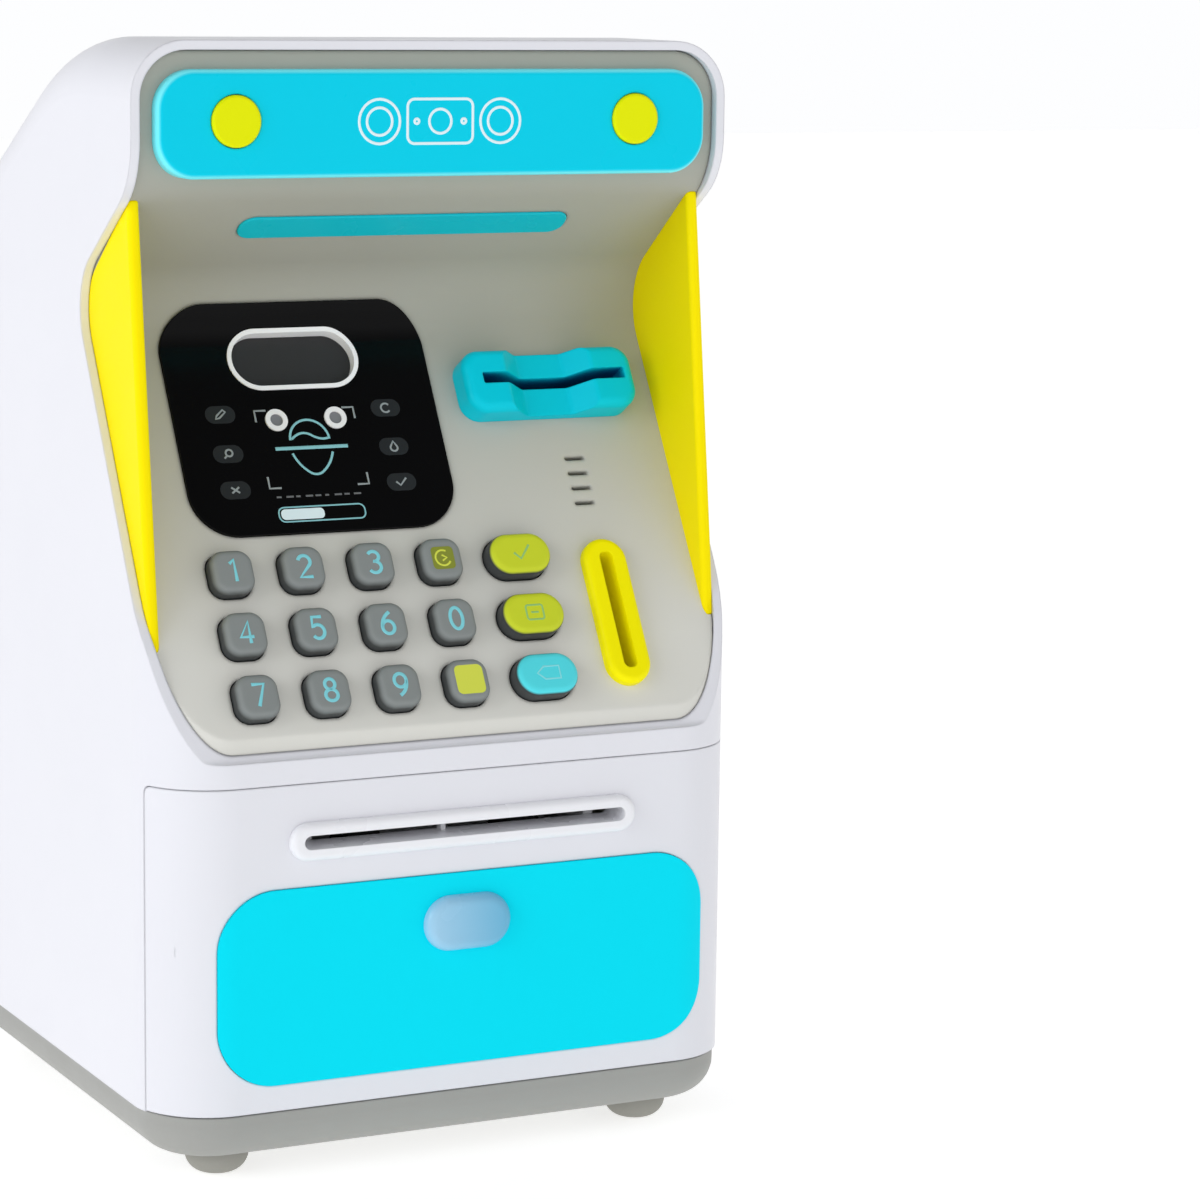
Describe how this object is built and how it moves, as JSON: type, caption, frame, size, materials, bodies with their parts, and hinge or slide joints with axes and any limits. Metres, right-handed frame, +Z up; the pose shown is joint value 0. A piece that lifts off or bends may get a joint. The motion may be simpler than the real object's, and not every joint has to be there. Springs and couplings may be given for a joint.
{
  "type": "toy cash machine savings bank",
  "caption": "Toy cash machine savings bank with a sloped keypad console under a sign, a card reader, a coin slot and a hinged front door that feeds notes into the safe behind it",
  "frame": {"origin": "middle of the footprint on the surface the bank stands on, halfway between the foremost point of the door pull and the back wall", "axes": "+X to the right of somebody facing the bank, +Y from the front to the back, +Z up"},
  "size_m": [0.124, 0.1304, 0.2165],
  "materials": {
    "shell_white": "smooth satin white",
    "cover_white": "fine matt white",
    "bezel_white": "smooth satin white",
    "base_grey": "fine matt grey",
    "feet_grey": "matt grey rubber",
    "inner_white": "plain moulded, natural white",
    "battery_steel": "printed sleeve over steel",
    "contact_steel": "plated spring steel",
    "screw_steel": "zinc plated",
    "fascia_grey": "fine matt warm grey",
    "wing_yellow": "smooth yellow",
    "sign_cyan": "smooth glossy cyan",
    "cap_yellow": "smooth glossy yellow",
    "strip_cyan": "translucent looking cyan",
    "screen_black": "high gloss black",
    "ring_white": "smooth white",
    "window_dark": "smoked",
    "lamp_white": "smooth white",
    "board_green": "coated circuit board",
    "reader_cyan": "smooth cyan",
    "coin_yellow": "smooth yellow",
    "membrane_rubber": "matt silicone",
    "speaker_black": "black",
    "liner_grey": "plain moulded",
    "solenoid_steel": "plated bracket round a wound coil",
    "pin_steel": "ground steel",
    "spring_steel": "spring wire",
    "plate_cyan": "flat satin cyan",
    "pull_blue": "smooth pale blue",
    "tyre_rubber": "matt rubber",
    "roller_grey": "moulded",
    "gear_nylon": "natural nylon",
    "gear_brass": "turned brass",
    "motor_steel": "drawn can",
    "card_cyan": "soft satin cyan",
    "card_yellow": "printed card",
    "key_grey": "satin grey",
    "key_icon": "satin grey",
    "key_lime": "grey body with a lime top",
    "pill_lime": "grey body with a lime top",
    "pill_cyan": "grey body with a cyan top"
  },
  "bodies": {
    "casing": {"main_shell": "shell_white", "rear_cover": "cover_white", "battery_cover": "cover_white", "base_cover": "base_grey", "feet": "feet_grey", "battery_box": "inner_white", "batteries": "battery_steel", "battery_contacts": "contact_steel", "casing_screws": "screw_steel", "console_fascia": "fascia_grey", "left_wing": "wing_yellow", "right_wing": "wing_yellow", "sign_plate": "sign_cyan", "sign_caps": "cap_yellow", "light_strip": "strip_cyan", "screen_panel": "screen_black", "window_ring": "ring_white", "scan_window": "window_dark", "screen_lamps": "lamp_white", "scan_module": "board_green", "card_reader": "reader_cyan", "coin_slot_bezel": "coin_yellow", "coin_chute": "inner_white", "keypad_membrane": "membrane_rubber", "main_board": "board_green", "speaker": "speaker_black", "safe_liner": "liner_grey", "latch_solenoid": "solenoid_steel", "latch_spring": "spring_steel", "hinge_pins": "pin_steel"},
    "door": {"door_panel": "shell_white", "door_plate": "plate_cyan", "door_pull": "pull_blue", "note_slot_bezel": "bezel_white", "feed_frame": "inner_white", "feed_motor": "motor_steel", "feed_cover": "inner_white"},
    "feed_roller": {"feed_shaft": "pin_steel", "feed_tyres": "tyre_rubber", "feed_gear": "gear_nylon"},
    "idler": {"idler_roller": "roller_grey"},
    "pinion": {"motor_pinion": "gear_brass"},
    "bolt": {"latch_bolt": "pin_steel"},
    "card": {"card_frame": "card_cyan", "card_insert": "card_yellow"},
    "key_0_cap": {"key_0": "key_grey"},
    "key_1_cap": {"key_1": "key_grey"},
    "key_2_cap": {"key_2": "key_grey"},
    "key_3_cap": {"key_3": "key_grey"},
    "key_4_cap": {"key_4": "key_grey"},
    "key_5_cap": {"key_5": "key_grey"},
    "key_6_cap": {"key_6": "key_grey"},
    "key_7_cap": {"key_7": "key_grey"},
    "key_8_cap": {"key_8": "key_grey"},
    "key_9_cap": {"key_9": "key_grey"},
    "key_icon_cap": {"key_icon": "key_icon"},
    "key_lime_cap": {"key_lime": "key_lime"},
    "pill_upper_cap": {"pill_upper": "pill_lime"},
    "pill_middle_cap": {"pill_middle": "pill_lime"},
    "pill_lower_cap": {"pill_lower": "pill_cyan"}
  },
  "joints": [
    {"name": "door_hinge", "type": "hinge", "parent": "casing", "child": "door", "pos_m": [0.0572, -0.05363, 0.046], "axis": [0, 0, 1], "range_deg": [0, 90]},
    {"name": "feed_turn", "type": "hinge", "parent": "door", "child": "feed_roller", "pos_m": [0, -0.0495, 0.061], "axis": [1, 0, 0], "continuous": true},
    {"name": "idler_turn", "type": "hinge", "parent": "door", "child": "idler", "pos_m": [0, -0.0495, 0.0698], "axis": [1, 0, 0], "continuous": true},
    {"name": "pinion_turn", "type": "hinge", "parent": "door", "child": "pinion", "pos_m": [0, -0.0495, 0.0485], "axis": [1, 0, 0], "continuous": true},
    {"name": "bolt_slide", "type": "slide", "parent": "casing", "child": "bolt", "axis": [0, 0, -1], "range_m": [0, 0.0035], "stiffness_N_per_m": 100, "springref_m": -0.001, "deforming": ["latch_spring"]},
    {"name": "card_lift", "type": "slide", "parent": "casing", "child": "card", "axis": [0, 0, 1], "range_m": [0, 0.03]},
    {"name": "key_0_press", "type": "slide", "parent": "casing", "child": "key_0_cap", "axis": [0, 0.8616, -0.5075], "range_m": [0, 0.0016], "stiffness_N_per_m": 150, "springref_m": -0.0003},
    {"name": "key_1_press", "type": "slide", "parent": "casing", "child": "key_1_cap", "axis": [0, 0.8616, -0.5075], "range_m": [0, 0.0016], "stiffness_N_per_m": 150, "springref_m": -0.0003},
    {"name": "key_2_press", "type": "slide", "parent": "casing", "child": "key_2_cap", "axis": [0, 0.8616, -0.5075], "range_m": [0, 0.0016], "stiffness_N_per_m": 150, "springref_m": -0.0003},
    {"name": "key_3_press", "type": "slide", "parent": "casing", "child": "key_3_cap", "axis": [0, 0.8616, -0.5075], "range_m": [0, 0.0016], "stiffness_N_per_m": 150, "springref_m": -0.0003},
    {"name": "key_4_press", "type": "slide", "parent": "casing", "child": "key_4_cap", "axis": [0, 0.8616, -0.5075], "range_m": [0, 0.0016], "stiffness_N_per_m": 150, "springref_m": -0.0003},
    {"name": "key_5_press", "type": "slide", "parent": "casing", "child": "key_5_cap", "axis": [0, 0.8616, -0.5075], "range_m": [0, 0.0016], "stiffness_N_per_m": 150, "springref_m": -0.0003},
    {"name": "key_6_press", "type": "slide", "parent": "casing", "child": "key_6_cap", "axis": [0, 0.8616, -0.5075], "range_m": [0, 0.0016], "stiffness_N_per_m": 150, "springref_m": -0.0003},
    {"name": "key_7_press", "type": "slide", "parent": "casing", "child": "key_7_cap", "axis": [0, 0.8616, -0.5075], "range_m": [0, 0.0016], "stiffness_N_per_m": 150, "springref_m": -0.0003},
    {"name": "key_8_press", "type": "slide", "parent": "casing", "child": "key_8_cap", "axis": [0, 0.8616, -0.5075], "range_m": [0, 0.0016], "stiffness_N_per_m": 150, "springref_m": -0.0003},
    {"name": "key_9_press", "type": "slide", "parent": "casing", "child": "key_9_cap", "axis": [0, 0.8616, -0.5075], "range_m": [0, 0.0016], "stiffness_N_per_m": 150, "springref_m": -0.0003},
    {"name": "key_icon_press", "type": "slide", "parent": "casing", "child": "key_icon_cap", "axis": [0, 0.8616, -0.5075], "range_m": [0, 0.0016], "stiffness_N_per_m": 150, "springref_m": -0.0003},
    {"name": "key_lime_press", "type": "slide", "parent": "casing", "child": "key_lime_cap", "axis": [0, 0.8616, -0.5075], "range_m": [0, 0.0016], "stiffness_N_per_m": 150, "springref_m": -0.0003},
    {"name": "pill_upper_press", "type": "slide", "parent": "casing", "child": "pill_upper_cap", "axis": [0, 0.8616, -0.5075], "range_m": [0, 0.0016], "stiffness_N_per_m": 150, "springref_m": -0.0003},
    {"name": "pill_middle_press", "type": "slide", "parent": "casing", "child": "pill_middle_cap", "axis": [0, 0.8616, -0.5075], "range_m": [0, 0.0016], "stiffness_N_per_m": 150, "springref_m": -0.0003},
    {"name": "pill_lower_press", "type": "slide", "parent": "casing", "child": "pill_lower_cap", "axis": [0, 0.8616, -0.5075], "range_m": [0, 0.0016], "stiffness_N_per_m": 150, "springref_m": -0.0003}
  ],
  "couplings": [
    {"joint": "idler_turn", "follows": "feed_turn", "ratio": -2.2},
    {"joint": "pinion_turn", "follows": "feed_turn", "ratio": -4}
  ]
}
